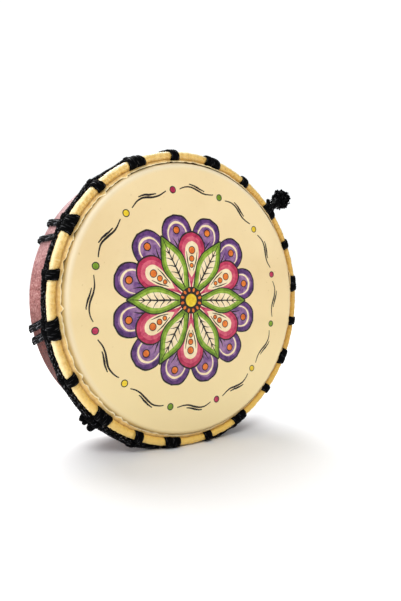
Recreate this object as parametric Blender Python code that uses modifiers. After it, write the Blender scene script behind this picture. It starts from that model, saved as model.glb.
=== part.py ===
"""Shaman drum: a hide head laced over a round wooden shell, standing on its rim.

Every piece is made in drum coordinates: the drum's axis is Z, the playing face is the
plane z = 0 and looks along +Z, +Y is up, and +X is right as seen from the front.
The empty "drum_axis" carries them all and turns the face to the world's -Y.
"""
from math import cos, pi, radians, sin

import bmesh
import bpy
from mathutils import Matrix, Vector

# Driving dimensions, in metres
GAP = 0.0003                      # clearance between pieces that touch
HIDE_THICKNESS = 0.0009
HEAD_RADIUS = 0.1013              # outside of the hide's side wall
HEAD_EDGE_RADIUS = 0.004          # rounding between the face and the wall
HEAD_WALL_DEPTH = 0.009

SHELL_DEPTH = 0.060               # from the face plane to the back edge
SHELL_BACK_RADIUS = 0.1082        # the shell widens towards the back
SHELL_STRAIGHT_DEPTH = 0.010      # the cone starts here
SHELL_WALL = 0.008
SHELL_BACK_WALL = 0.009
SHELL_BACK_ROUND = 0.0035
SHELL_CHAMFER = 0.0012

HOOP_RADIUS = 0.1070              # centreline of the hide-covered hoop
HOOP_TUBE_RADIUS = 0.0030
HOOP_DEPTH = 0.0055

CORD_RING_RADIUS = 0.1076         # the cord that runs round behind the hoop
CORD_RING_TUBE_RADIUS = 0.0029
CORD_RING_DEPTH = 0.0138

# Where the wraps cross the hoop, in degrees; odd ones are one turn wide, even ones two
WRAP_ANGLES = (102.5, 83.9, 65.4, 46.8, 28.7, 9.6, -8.6, -26.4, -44.0, -63.3,
               -81.3, -98.7, -114.4, -131.6, -149.7, -168.3, -186.6, -204.7, -222.1, -240.1)
WRAP_INNER_RADIUS = 0.0034        # round the hoop's own centreline
WRAP_THICKNESS = 0.0016
WRAP_TURN_WIDTH = 0.0072

LACING_RADIUS = 0.0016            # a round cord, 3.2 mm through
LACING_START_DEPTH = 0.0122
LACING_START_HALF_ANGLE = 2.6     # each pair starts this far either side of its wrap
LACING_GRIP_HALF_ANGLE = 8.0
# Each wide wrap's pair at the back edge: how far it leans round, and its half spread
LACING_LEAN = {2: (1.0, 3.4), 4: (-2.0, 3.0), 6: (2.5, 3.6), 8: (-1.0, 2.8), 10: (1.5, 3.4),
               12: (1.5, 4.0), 14: (3.0, 2.6), 16: (4.1, 2.4), 18: (-0.5, 3.8), 20: (-2.5, 3.2)}

GRIP_RADIUS = 0.022               # centreline of the ring in the middle of the back
GRIP_TUBE_RADIUS = 0.004

TUFT_WRAP = 4                     # the cord's end is knotted on this wrap
KNOT_RADIUS = 0.0042
KNOT_OUT = 0.1172                 # the knot's centre, from the drum's axis
TUFT_RADIUS = 0.0090
TUFT_OUT = 0.1300
TUFT_DEPTH = 0.0095
TUFT_LEAN = -2.2                  # degrees round from the wrap
NECK_RADIUS = 0.0024

RING_KNOT_ANGLES = (-130.0, -133.5)   # two loops tied outside the cord ring
RING_KNOT_OUT = 0.1146
RING_KNOT_RADIUS = 0.0038
RING_KNOT_DEPTH = 0.0150

AXIS_HEIGHT = 0.1106              # the wraps below are pressed flat at this distance
ROUND_STEPS = 48                  # facets round the shell and the head
HOOP_STEPS = 60
WRAP_STEPS = 10
GRIP_STEPS = 24

# Worked out from the dimensions above
SHELL_FRONT_RADIUS = HEAD_RADIUS - HIDE_THICKNESS - GAP
LACING_OFFSET = GAP + LACING_RADIUS
BACK_PLANE = -(SHELL_DEPTH + LACING_OFFSET)
BACK_REACH = -BACK_PLANE + GRIP_TUBE_RADIUS
AXIS_Y = -BACK_REACH / 2


def clear_scene():
    for obj in list(bpy.data.objects):
        bpy.data.objects.remove(obj, do_unlink=True)


def new_collection(name):
    collection = bpy.data.collections.new(name)
    bpy.context.scene.collection.children.link(collection)
    return collection


def new_material(name, color, roughness):
    material = bpy.data.materials.new(name)
    material.use_nodes = True
    shader = material.node_tree.nodes["Principled BSDF"]
    shader.inputs["Base Color"].default_value = (*color, 1.0)
    shader.inputs["Roughness"].default_value = roughness
    shader.inputs["Metallic"].default_value = 0.0
    return material


def place(obj, matrix=None):
    """Link an object to the drum's collection and hang it from the drum's axis."""
    parts.objects.link(obj)
    obj.parent = drum_axis
    if matrix is not None:
        obj.matrix_basis = matrix
    return obj


def turned(name, profile, steps, material, matrix=None, closed=True):
    """A profile of (radius, z) points turned round Z, outer side first, front to back."""
    mesh = bpy.data.meshes.new(name)
    edges = [(i, i + 1) for i in range(len(profile) - 1)]
    if closed:
        edges.append((len(profile) - 1, 0))
    mesh.from_pydata([(radius, 0.0, z) for radius, z in profile], edges, [])
    mesh.materials.append(material)
    obj = place(bpy.data.objects.new(name, mesh), matrix)
    screw = obj.modifiers.new("turn", 'SCREW')
    screw.steps = steps
    screw.render_steps = steps
    screw.use_merge_vertices = True
    screw.merge_threshold = 0.00001
    screw.use_smooth_shade = True
    return obj


def ring_tube(name, radius, tube_radius, z, steps, sides, material):
    """A round tube bent into a ring about the drum's axis."""
    profile = []
    for i in range(sides):
        turn = pi / 2 - 2 * pi * i / sides
        profile.append((radius + tube_radius * cos(turn), z + tube_radius * sin(turn)))
    return turned(name, profile, steps, material)


def arc(center, radius, start, end, count):
    """Points on an arc in the (radius, z) section; angles in degrees."""
    points = []
    for i in range(count):
        turn = radians(start + (end - start) * i / (count - 1))
        points.append((center[0] + radius * cos(turn), center[1] + radius * sin(turn)))
    return points


def shell_radius(depth):
    """Outside radius of the shell: straight under the hide, then a widening cone."""
    run = max(0.0, depth - SHELL_STRAIGHT_DEPTH)
    slope = (SHELL_BACK_RADIUS - SHELL_FRONT_RADIUS) / (SHELL_DEPTH - SHELL_STRAIGHT_DEPTH)
    return SHELL_FRONT_RADIUS + slope * run


def make_shell():
    top = -(HIDE_THICKNESS + GAP)
    front_round = HEAD_EDGE_RADIUS - HIDE_THICKNESS - GAP
    front_center = (SHELL_FRONT_RADIUS - front_round, top - front_round)
    back_center = (shell_radius(SHELL_DEPTH - SHELL_BACK_ROUND) - SHELL_BACK_ROUND,
                   SHELL_BACK_ROUND - SHELL_DEPTH)
    inner_front = SHELL_FRONT_RADIUS - SHELL_WALL
    inner_back = SHELL_BACK_RADIUS - SHELL_BACK_WALL
    profile = arc(front_center, front_round, 90, 0, 3)
    profile.append((SHELL_FRONT_RADIUS, -SHELL_STRAIGHT_DEPTH))
    profile += arc(back_center, SHELL_BACK_ROUND, 0, -90, 3)
    profile.append((inner_back + SHELL_CHAMFER, -SHELL_DEPTH))
    profile.append((inner_back, SHELL_CHAMFER - SHELL_DEPTH))
    profile.append((inner_front, top - SHELL_CHAMFER))
    profile.append((inner_front + SHELL_CHAMFER, top))
    return turned("shell", profile, ROUND_STEPS, shell_wood)


def make_drumhead():
    outer_center = (HEAD_RADIUS - HEAD_EDGE_RADIUS, -HEAD_EDGE_RADIUS)
    inner_round = HEAD_EDGE_RADIUS - HIDE_THICKNESS
    inner_radius = HEAD_RADIUS - HIDE_THICKNESS
    profile = [(0.0, 0.0)]
    profile += arc(outer_center, HEAD_EDGE_RADIUS, 90, 0, 4)
    profile.append((HEAD_RADIUS, -HEAD_WALL_DEPTH))
    profile.append((inner_radius, -HEAD_WALL_DEPTH))
    profile += arc(outer_center, inner_round, 0, 90, 3)
    profile.append((0.0, -HIDE_THICKNESS))
    return turned("drumhead", profile, ROUND_STEPS, head_hide, closed=False)


def wrap_angle(number):
    return WRAP_ANGLES[number - 1]


def on_hoop(degrees):
    """Frame on the hoop's centreline: X points out from the axis, Z along the hoop."""
    turn = radians(degrees)
    out = Vector((cos(turn), sin(turn), 0.0))
    along = Vector((-sin(turn), cos(turn), 0.0))
    matrix = Matrix((out, along.cross(out), along)).transposed().to_4x4()
    matrix.translation = out * HOOP_RADIUS + Vector((0.0, 0.0, -HOOP_DEPTH))
    return matrix


def wrap_section(turns):
    """Outline of flattened cord turns side by side, with a groove between two."""
    middle = WRAP_INNER_RADIUS + WRAP_THICKNESS / 2
    half = turns * WRAP_TURN_WIDTH / 2
    flat = 0.36 * WRAP_TURN_WIDTH
    centers = [half - WRAP_TURN_WIDTH * (i + 0.5) for i in range(turns)]
    outer = []
    for i, center in enumerate(centers):
        if i > 0:
            outer.append((0.2 * WRAP_THICKNESS, center + WRAP_TURN_WIDTH / 2))
        outer.append((0.5 * WRAP_THICKNESS, center + flat))
        outer.append((0.5 * WRAP_THICKNESS, center - flat))
    inner = [(-rise, -along) for rise, along in outer]
    offsets = [(0.0, half)] + outer + [(0.0, -half)] + inner
    return [(middle + rise, along) for rise, along in offsets]


def make_wrap(number):
    turns = 1 if number % 2 else 2
    name = f"wrap_{number:02d}"
    matrix = on_hoop(wrap_angle(number))
    return turned(name, wrap_section(turns), WRAP_STEPS, black_cord, matrix)


def polar(radius, degrees, z):
    turn = radians(degrees)
    return Vector((radius * cos(turn), radius * sin(turn), z))


def lacing_route(number, side):
    """From behind the hoop over the shell, round its back edge and in to the grip ring."""
    wrap = wrap_angle(number)
    lean, spread = LACING_LEAN[number]
    start = wrap + side * LACING_START_HALF_ANGLE
    back = wrap + lean + side * spread
    bend_depth = SHELL_DEPTH - SHELL_BACK_ROUND
    bend_center = (shell_radius(bend_depth) - SHELL_BACK_ROUND, -bend_depth)
    half_way = (LACING_START_DEPTH + bend_depth) / 2
    points = [polar(shell_radius(LACING_START_DEPTH) + LACING_OFFSET, start, -LACING_START_DEPTH),
              polar(shell_radius(half_way) + LACING_OFFSET, (start + back) / 2, -half_way)]
    for radius, z in arc(bend_center, SHELL_BACK_ROUND + LACING_OFFSET, 0, -90, 4):
        points.append(polar(radius, back, z))
    grip = wrap + side * LACING_GRIP_HALF_ANGLE
    points.append(polar(GRIP_RADIUS + GRIP_TUBE_RADIUS + GAP, grip, BACK_PLANE))
    return points


def tube_object(name, points, radius, material):
    """A closed round tube along the points, as a mesh whose end caps are welded on."""
    curve = bpy.data.curves.new(name, 'CURVE')
    curve.dimensions = '3D'
    curve.bevel_depth = radius
    curve.bevel_resolution = 2
    curve.use_fill_caps = True
    spline = curve.splines.new('POLY')
    spline.points.add(len(points) - 1)
    for point, position in zip(spline.points, points):
        point.co = (*position, 1.0)
    source = bpy.data.objects.new(name + "_path", curve)
    bpy.context.scene.collection.objects.link(source)
    bpy.context.view_layer.update()
    evaluated = source.evaluated_get(bpy.context.evaluated_depsgraph_get())
    mesh = bpy.data.meshes.new_from_object(evaluated)
    bpy.data.objects.remove(source, do_unlink=True)
    shape = bmesh.new()
    shape.from_mesh(mesh)
    bmesh.ops.remove_doubles(shape, verts=shape.verts, dist=0.00001)
    shape.to_mesh(mesh)
    shape.free()
    mesh.materials.clear()
    mesh.materials.append(material)
    mesh.name = name
    return place(bpy.data.objects.new(name, mesh))


def make_lacing(number):
    pair = []
    for letter, side in (("a", 1), ("b", -1)):
        name = f"lacing_{number:02d}{letter}"
        pair.append(tube_object(name, lacing_route(number, side), LACING_RADIUS, black_cord))
    return pair


def ball(name, center, radius, material):
    bpy.ops.mesh.primitive_ico_sphere_add(subdivisions=2, radius=radius, location=(0, 0, 0))
    obj = bpy.context.object
    obj.name = name
    obj.data.name = name
    obj.data.materials.append(material)
    for collection in list(obj.users_collection):
        collection.objects.unlink(obj)
    return place(obj, Matrix.Translation(center))


def as_cutter(obj):
    """A helper for a Boolean: it isn't part of the drum."""
    for collection in list(obj.users_collection):
        collection.objects.unlink(obj)
    cutters.objects.link(obj)
    obj.hide_render = True
    obj.display_type = 'WIRE'
    return obj


def boolean(obj, operation, other):
    modifier = obj.modifiers.new(operation.lower(), 'BOOLEAN')
    modifier.operation = operation
    modifier.object = other
    modifier.solver = 'EXACT'


def make_tuft():
    """The knotted end of the cord: a knot on the wrap, a short neck and a frayed ball."""
    angle = wrap_angle(TUFT_WRAP)
    knot = polar(KNOT_OUT, angle, -HOOP_DEPTH)
    tip = polar(TUFT_OUT, angle + TUFT_LEAN, -TUFT_DEPTH)
    tuft = ball("cord_tuft", tip, TUFT_RADIUS, black_cord)
    neck = tube_object("tuft_neck", [knot, tip], NECK_RADIUS, black_cord)
    boolean(tuft, 'UNION', as_cutter(neck))
    boolean(tuft, 'UNION', as_cutter(ball("tuft_knot", knot, KNOT_RADIUS, black_cord)))
    return tuft


def make_ring_knot():
    """Two short loops of cord tied side by side on the outside of the cord ring."""
    centers = [polar(RING_KNOT_OUT, angle, -RING_KNOT_DEPTH) for angle in RING_KNOT_ANGLES]
    knot = ball("ring_knot", centers[0], RING_KNOT_RADIUS, black_cord)
    boolean(knot, 'UNION', as_cutter(ball("second_loop", centers[1], RING_KNOT_RADIUS, black_cord)))
    return knot


def make_floor_cutter():
    """Everything under the resting plane; it presses the lowest cords flat."""
    size = 0.1
    bpy.ops.mesh.primitive_cube_add(size=size, location=(0.0, 0.0, -size / 2))
    cutter = bpy.context.object
    cutter.name = "resting_plane"
    return as_cutter(cutter)


clear_scene()
parts = new_collection("shaman_drum")
cutters = new_collection("cutters")

shell_wood = new_material("shell_wood", (0.30, 0.12, 0.10), 0.45)
head_hide = new_material("head_hide", (0.86, 0.71, 0.42), 0.5)
hoop_hide = new_material("hoop_hide", (0.82, 0.58, 0.20), 0.45)
black_cord = new_material("black_cord", (0.012, 0.012, 0.014), 0.75)

drum_axis = bpy.data.objects.new("drum_axis", None)
drum_axis.location = (0.0, AXIS_Y, AXIS_HEIGHT)
drum_axis.rotation_euler = (pi / 2, 0.0, 0.0)
parts.objects.link(drum_axis)

make_shell()
make_drumhead()
ring_tube("hide_hoop", HOOP_RADIUS, HOOP_TUBE_RADIUS, -HOOP_DEPTH, HOOP_STEPS, 8, hoop_hide)
ring_tube("cord_ring", CORD_RING_RADIUS, CORD_RING_TUBE_RADIUS, -CORD_RING_DEPTH,
          HOOP_STEPS, 6, black_cord)
wraps = {number: make_wrap(number) for number in range(1, len(WRAP_ANGLES) + 1)}
lacing = {number: make_lacing(number) for number in LACING_LEAN}
ring_tube("grip_ring", GRIP_RADIUS, GRIP_TUBE_RADIUS, BACK_PLANE, GRIP_STEPS, 8, black_cord)
make_tuft()
make_ring_knot()

resting_plane = make_floor_cutter()
for low_piece in (wraps[11], wraps[12], lacing[12][0]):
    boolean(low_piece, 'DIFFERENCE', resting_plane)
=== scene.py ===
from math import cos, pi, radians, sin

import bpy
import numpy as np
from mathutils import Matrix, Vector, noise
from mathutils.geometry import delaunay_2d_cdt


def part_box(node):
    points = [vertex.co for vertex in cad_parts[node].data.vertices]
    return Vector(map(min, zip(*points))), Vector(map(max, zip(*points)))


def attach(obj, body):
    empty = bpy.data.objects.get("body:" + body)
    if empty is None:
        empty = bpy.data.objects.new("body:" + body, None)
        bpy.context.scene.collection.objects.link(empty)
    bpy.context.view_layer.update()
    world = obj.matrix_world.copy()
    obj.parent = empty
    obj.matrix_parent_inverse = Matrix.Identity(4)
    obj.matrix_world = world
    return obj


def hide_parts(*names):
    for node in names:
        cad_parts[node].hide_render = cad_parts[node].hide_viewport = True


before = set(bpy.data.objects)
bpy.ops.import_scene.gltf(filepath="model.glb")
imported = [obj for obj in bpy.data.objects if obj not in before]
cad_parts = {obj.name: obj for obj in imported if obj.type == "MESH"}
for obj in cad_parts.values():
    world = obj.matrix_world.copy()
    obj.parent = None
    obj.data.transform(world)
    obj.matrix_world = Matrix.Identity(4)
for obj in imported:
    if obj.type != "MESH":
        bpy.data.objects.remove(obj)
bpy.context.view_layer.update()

# ---- Coordinates and sizes ----
# In the drum's own coordinates Z is the drum's axis, the playing face is the plane
# z = 0 and looks along +Z, Y is up and X is right as seen from the front. Every
# piece is made in them, and DRUM carries it into the row frame.
head_low, head_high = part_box("drumhead")
AXIS_POINT = Vector(((head_low.x + head_high.x) / 2, head_low.y, (head_low.z + head_high.z) / 2))
DRUM = Matrix.Translation(AXIS_POINT) @ Matrix.Rotation(pi / 2, 4, 'X')


def depth_range(node):
    """How far behind the face plane a node's front and back lie."""
    low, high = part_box(node)
    return low.y - AXIS_POINT.y, high.y - AXIS_POINT.y


def outer_radius(node):
    low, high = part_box(node)
    return (high.x - low.x) / 2


def ring_sizes(node):
    """A ring's radius and depth to the middle of its tube, and the tube's own radius."""
    front, back = depth_range(node)
    tube = (back - front) / 2
    return outer_radius(node) - tube, (front + back) / 2, tube


# Sizes read from the frame
HEAD_RADIUS = outer_radius("drumhead")
HEAD_WALL_DEPTH = depth_range("drumhead")[1]
SHELL_DEPTH = depth_range("shell")[1]
HOOP_RADIUS, HOOP_DEPTH, _ = ring_sizes("hide_hoop")
RING_DEPTH = ring_sizes("cord_ring")[1]
GRIP_RADIUS, GRIP_DEPTH, GRIP_TUBE = ring_sizes("grip_ring")

# Sizes that the frame's boxes don't give, in metres and degrees
HIDE_THICKNESS = 0.0009
HEAD_EDGE_RADIUS = 0.004
HEAD_TUCK = 0.0022                # the hide runs out under the hoop to this far from its middle
SHELL_FRONT_RADIUS = 0.1001
SHELL_BACK_RADIUS = 0.1082
SHELL_STRAIGHT_DEPTH = 0.010
SHELL_WALL = 0.008
SHELL_BACK_WALL = 0.009
SHELL_BACK_ROUND = 0.0035
SHELL_INNER_ROUND = 0.0014
SHELL_CHAMFER = 0.0012            # inside, under the head
FLOOR_LEVEL = 0.0
# Where the wraps cross the hoop; odd ones are one turn wide, even ones two
WRAP_ANGLES = (102.5, 83.9, 65.4, 46.8, 28.7, 9.6, -8.6, -26.4, -44.0, -63.3,
               -81.3, -98.7, -114.4, -131.6, -149.7, -168.3, -186.6, -204.7, -222.1, -240.1)
TURN_WIDTH = 0.0072
# Each pair of lacings at the back edge: how far its middle has moved on, and each run from it
LACING_LEAN = {2: (1.0, 3.4), 4: (-2.0, 3.0), 6: (2.5, 3.6), 8: (-1.0, 2.8), 10: (1.5, 3.4),
               12: (1.5, 4.0), 14: (3.2, 1.9), 16: (4.1, 2.4), 18: (-0.5, 3.8), 20: (-2.5, 3.2)}
# The same where it leaves its wrap, for most pairs and for two that differ
LACING_START = (-1.0, 2.2)
LACING_ODD_STARTS = {14: (2.1, -0.7), 16: (-1.8, 2.2)}
LACING_START_DEPTH = 0.0122
LACING_GRIP_HALF_ANGLE = 8.0
LACING_HALF_WIDTH = 0.0029
LACING_HALF_HEIGHT = 0.0012
LOW_LACING = 12                   # the pair that the drum stands on
LOW_LACING_HALF_HEIGHT = 0.0016
RING_KNOT_ANGLES = (-130.0, -133.5)
RING_KNOT_OUT = 0.1146
RING_KNOT_DEPTH = 0.0150

# The finished hoop and cords
HOOP_TUBE = 0.00305               # the covered hoop between the wraps
HOOP_PINCH = 0.00030              # how far a wrap presses it in
LIP_STANDOFF = 0.00030            # between the head and the middle of the trimmed edge
LIP_ROOT = (0.0026, 0.0004)       # where it leaves the hoop: in and forwards of the hoop's middle
LIP_HALF_THICKNESS = (0.0005, 0.0004)
LIP_GIRTH = 0.009                 # once round its section
WRAP_THICKNESS = 0.0017
WRAP_INNER_THICKNESS = 0.0010     # pressed into the crease beside the head
RING_RADIUS = 0.1082
RING_TUBE = 0.0029
GRIP_WINDINGS = 52
GRIP_CORE = 0.0013                # from the grip ring's middle to the middle of its winding
# Where the running cord hangs away from the shell: middle and reach in degrees, and how far
RING_SLACK = ((-134.0, 24.0, 0.0028), (-157.0, 22.0, 0.0010), (-113.0, 26.0, 0.0034), (-73.0, 22.0, 0.0044),
              (138.0, 26.0, 0.0008), (-104.0, 12.0, 0.0010), (95.0, 7.0, 0.0013))

# The tuft: half widths of its yarns, how many of each, and the seed of their directions
YARNS = ((0.00125, 84), (0.00070, 36), (0.00035, 10))
YARN_SEED = 11

# Steps round the drum
HEAD_STEPS = 360
SHELL_STEPS = 320
HOOP_STEPS = 1440
RING_STEPS = 1500


def lerp(a, b, t):
    return a + (b - a) * t


def unit(vectors):
    return vectors / np.linalg.norm(vectors, axis=-1, keepdims=True)


def run_along(points):
    """Distances along a row of points, from 0."""
    return np.concatenate([[0], np.cumsum(np.linalg.norm(np.diff(points, axis=0), axis=1))])


def turns(count):
    """Angles at even steps once round, in radians."""
    return np.linspace(0, 2 * pi, count, endpoint=False)


def rim_places(count):
    """Angles at even steps round the rim, in degrees."""
    return 360.0 * np.arange(count) / count


def wrap_angle(number):
    return WRAP_ANGLES[number - 1]


def rim_distance(degrees, other):
    """Degrees from one place on the rim to another, -180 to 180."""
    return (degrees - other + 180.0) % 360.0 - 180.0


def nearest_wrap(degrees):
    """How many degrees lie between a place on the rim and the wrap next to it."""
    return min(abs(rim_distance(degrees, angle)) for angle in WRAP_ANGLES)


def near(distance, reach):
    """1 at distance 0, falling smoothly to 0 at reach."""
    t = min(1.0, abs(distance) / reach)
    return 1 - t * t * (3 - 2 * t)


def facing(degrees, other):
    """1 at a place on the rim, falling smoothly to 0 at the opposite one."""
    return (1 + cos(radians(degrees - other))) / 2


def shell_radius(depth):
    run = max(0.0, depth - SHELL_STRAIGHT_DEPTH)
    slope = (SHELL_BACK_RADIUS - SHELL_FRONT_RADIUS) / (SHELL_DEPTH - SHELL_STRAIGHT_DEPTH)
    return SHELL_FRONT_RADIUS + slope * run


def polar(radius, degrees, z):
    turn = radians(degrees)
    return np.array((radius * cos(turn), radius * sin(turn), z))


def on_tube(radius, depth, tube, degrees, turn):
    """A point on a ring's tube and the way it faces: outwards at turn 0, forwards a quarter on."""
    direction = polar(cos(turn), degrees, sin(turn))
    return polar(radius, degrees, -depth) + tube * direction, direction


def ripple(x, y, z=0.0, octaves=3):
    """Smooth noise between about -1 and 1."""
    return noise.fractal(Vector((x, y, z)), 0.8, 2.0, octaves, noise_basis='PERLIN_ORIGINAL')


def rim_ripple(degrees, scale, z, octaves=3):
    """Smooth noise round the rim, that meets itself after a full turn."""
    x, y, _ = polar(scale, degrees, 0.0)
    return ripple(x, y, z, octaves)


# ---- Mesh making ----
class Surface:
    """Collects points and faces with UVs in metres, and makes one mesh object of them."""

    def __init__(self):
        self.points = []
        self.faces = []
        self.corner_uvs = []
        self.slots = []

    def add_points(self, points):
        first = len(self.points)
        self.points.extend(np.asarray(points).tolist())
        return first

    def add_face(self, corners, uvs, slot=0):
        self.faces.append(tuple(corners))
        self.corner_uvs.extend(uvs)
        self.slots.append(slot)

    def grid(self, rows, u, v, loop_rows=True, loop_columns=True):
        """Quads over rows[i][j]; u runs along i and v along j, one value more on a loop."""
        n, m = rows.shape[:2]
        first = self.add_points(rows.reshape(-1, 3))
        for i in range(n if loop_rows else n - 1):
            here, there = first + i * m, first + (i + 1) % n * m
            for j in range(m if loop_columns else m - 1):
                k = (j + 1) % m
                uvs = [(u[i], v[j]), (u[i], v[j + 1]), (u[i + 1], v[j + 1]), (u[i + 1], v[j])]
                self.add_face((here + j, here + k, there + k, there + j), uvs)
        return first

    def cap(self, first, count, u, flip):
        """Closes a tube's end with a fan round its middle."""
        center = self.add_points([np.mean(self.points[first:first + count], 0)])
        for j in range(count):
            a, b = first + j, first + (j + 1) % count
            self.add_face((b, center, a) if flip else (a, center, b), [(u, 0.0)] * 3)

    def make(self, name, looks, replaced):
        """One object of all the faces; what would go through the floor is pressed flat on it."""
        drum = np.array(DRUM)
        points = np.array(self.points) @ drum[:3, :3].T + drum[:3, 3]
        points[:, 2] = np.maximum(points[:, 2], FLOOR_LEVEL)
        mesh = bpy.data.meshes.new(name)
        mesh.from_pydata(points.tolist(), [], self.faces)
        for look in looks:
            mesh.materials.append(LOOKS[look])
        mesh.polygons.foreach_set("material_index", self.slots)
        layer = mesh.uv_layers.new(name="metres")
        layer.data.foreach_set("uv", np.array(self.corner_uvs, dtype=np.float32).ravel())
        mesh.shade_smooth()
        mesh.update()
        obj = bpy.data.objects.new(name, mesh)
        bpy.context.scene.collection.objects.link(obj)
        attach(obj, "root")
        if replaced:
            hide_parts(*replaced)
        return obj


def weld(obj):
    """Joins points that lie on each other, keeping the UVs."""
    modifier = obj.modifiers.new("weld", 'WELD')
    modifier.merge_threshold = 0.000002


def arc(radius, depth, bend, start, end, count):
    """Points of (radius, depth) round a bend, from 0 degrees outwards to 90 backwards."""
    return [(radius + bend * cos(turn), depth + bend * sin(turn))
            for turn in np.radians(np.linspace(start, end, count))]


def turned(surface, profile, steps, uneven):
    """A profile of (radius, depth) points turned round the axis, with uneven added to each radius."""
    profile = np.array(profile)
    rows = np.zeros((steps, len(profile), 3))
    for i, degrees in enumerate(rim_places(steps)):
        for j, (radius, depth) in enumerate(profile):
            rows[i, j] = polar(radius + uneven(degrees, j), degrees, -depth)
    around = np.linspace(0, 2 * pi * profile[:, 0].mean(), steps + 1)
    surface.grid(rows, around, run_along(profile), loop_columns=False)


def braid(u, v, pitch, cells):
    """Height of plaited strands, 0 to 1, along u metres and round v, from 0 to 1."""
    p = cells * v + u / pitch
    q = cells * v - u / pitch
    a, b = p - np.floor(p), q - np.floor(q)
    over = (np.floor(p) + np.floor(q)) % 2 == 0
    across = np.where(over, a, b)
    along = np.where(over, b, a)
    return np.sqrt(np.clip(1 - (2 * across - 1) ** 2, 0, 1)) * (0.6 + 0.4 * np.sin(pi * along))


def strands(u, v, pitch, count):
    """Height of yarns lying side by side along the cord, with a slow twist."""
    sway = 0.22 * np.sin(u * 410 + 2.1) + 0.14 * np.sin(u * 1130 + 0.7)
    across = count * v + u / pitch + sway
    across = 2 * (across - np.floor(across)) - 1
    return np.sqrt(np.clip(1 - across ** 2, 0, 1))


def cord(surface, path, up, half_width, half_height, sides=18, closed=False,
         weave=strands, pitch=0.030, count=9, relief=0.00022):
    """A cord swept along a path, flattened across the directions in up."""
    path, up = np.array(path), np.array(up)
    n = len(path)
    if closed:
        tangent = unit(np.roll(path, -1, 0) - np.roll(path, 1, 0))
        run = run_along(np.vstack([path, path[:1]]))
        pitch = run[-1] / max(1, round(run[-1] / (2 * pitch))) / 2
    else:
        tangent = unit(np.gradient(path, axis=0))
        run = run_along(path)
    normal = unit(up - (up * tangent).sum(1)[:, None] * tangent)
    side = np.cross(normal, tangent)
    half_width = np.broadcast_to(half_width, (n,))
    half_height = np.broadcast_to(half_height, (n,))
    v = np.linspace(0, 1, sides + 1)
    turn = 2 * pi * v[None, :-1, None]
    out = side[:, None] * np.cos(turn) * half_width[:, None, None]
    out = out + normal[:, None] * np.sin(turn) * half_height[:, None, None]
    height = weave(*np.meshgrid(run[:n], v[:-1], indexing='ij'), pitch, count)
    length = np.linalg.norm(out, axis=2)
    rows = path[:, None] + out * (1 + relief * (height - 1) / length)[..., None]
    first = surface.grid(rows, run, v * 2 * pi * half_width.mean(), loop_rows=closed)
    if not closed:
        surface.cap(first, sides, 0.0, True)
        surface.cap(first + (n - 1) * sides, sides, run[-1], False)


def resample(points, spacing):
    """Points an even distance apart on a smooth curve through the given ones."""
    points = np.array(points, dtype=float)
    last = len(points) - 1
    dense = []
    for i in range(last):
        a, b, c, d = (points[min(max(k, 0), last)] for k in range(i - 1, i + 3))
        for t in np.linspace(0, 1, 24, endpoint=False):
            dense.append(0.5 * (2 * b + (c - a) * t + (2 * a - 5 * b + 4 * c - d) * t ** 2
                                + (3 * b - a - 3 * c + d) * t ** 3))
    dense = np.array(dense + [points[-1]])
    run = run_along(dense)
    at = np.linspace(0, run[-1], max(3, round(run[-1] / spacing)) + 1)
    return np.stack([np.interp(at, run, column) for column in dense.T], 1)


def carried_up(path, first_up):
    """Carries an upward direction along a path without twisting."""
    up = np.array(first_up)
    carried = []
    for tangent in unit(np.gradient(np.array(path), axis=0)):
        up = unit(up - up.dot(tangent) * tangent)
        carried.append(up)
    return np.array(carried)


def rope(surface, points, spacing, up, half_width, half_height, **form):
    """A cord on a smooth curve through the points, with one upward direction carried along it."""
    path = resample(points, spacing)
    cord(surface, path, carried_up(path, up), half_width, half_height, **form)


# ---- Materials ----
class Nodes:
    """Adds nodes to a node tree, fed with plain values or with other nodes' outputs."""

    def __init__(self, tree):
        self.tree = tree

    def feed(self, socket, value):
        """Links an output to a socket, or sets the socket's own value."""
        if isinstance(value, bpy.types.NodeSocket):
            self.tree.links.new(value, socket)
        elif socket.type == 'RGBA':
            socket.default_value = (*value, 1.0)
        else:
            socket.default_value = value

    def node(self, kind, **values):
        """A new node; each value goes to its property or its input of that name."""
        made = self.tree.nodes.new(kind)
        for key, value in values.items():
            if hasattr(made, key):
                setattr(made, key, value)
            else:
                self.feed(made.inputs[key], value)
        return made

    def scaled(self, factor, low, high, from_low=0.3, from_high=0.7):
        """Maps a range of a factor, by default the one that noise fills, to low and high."""
        ranges = {"From Min": from_low, "From Max": from_high, "To Min": low, "To Max": high}
        return self.node('ShaderNodeMapRange', Value=factor, **ranges).outputs["Result"]


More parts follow.
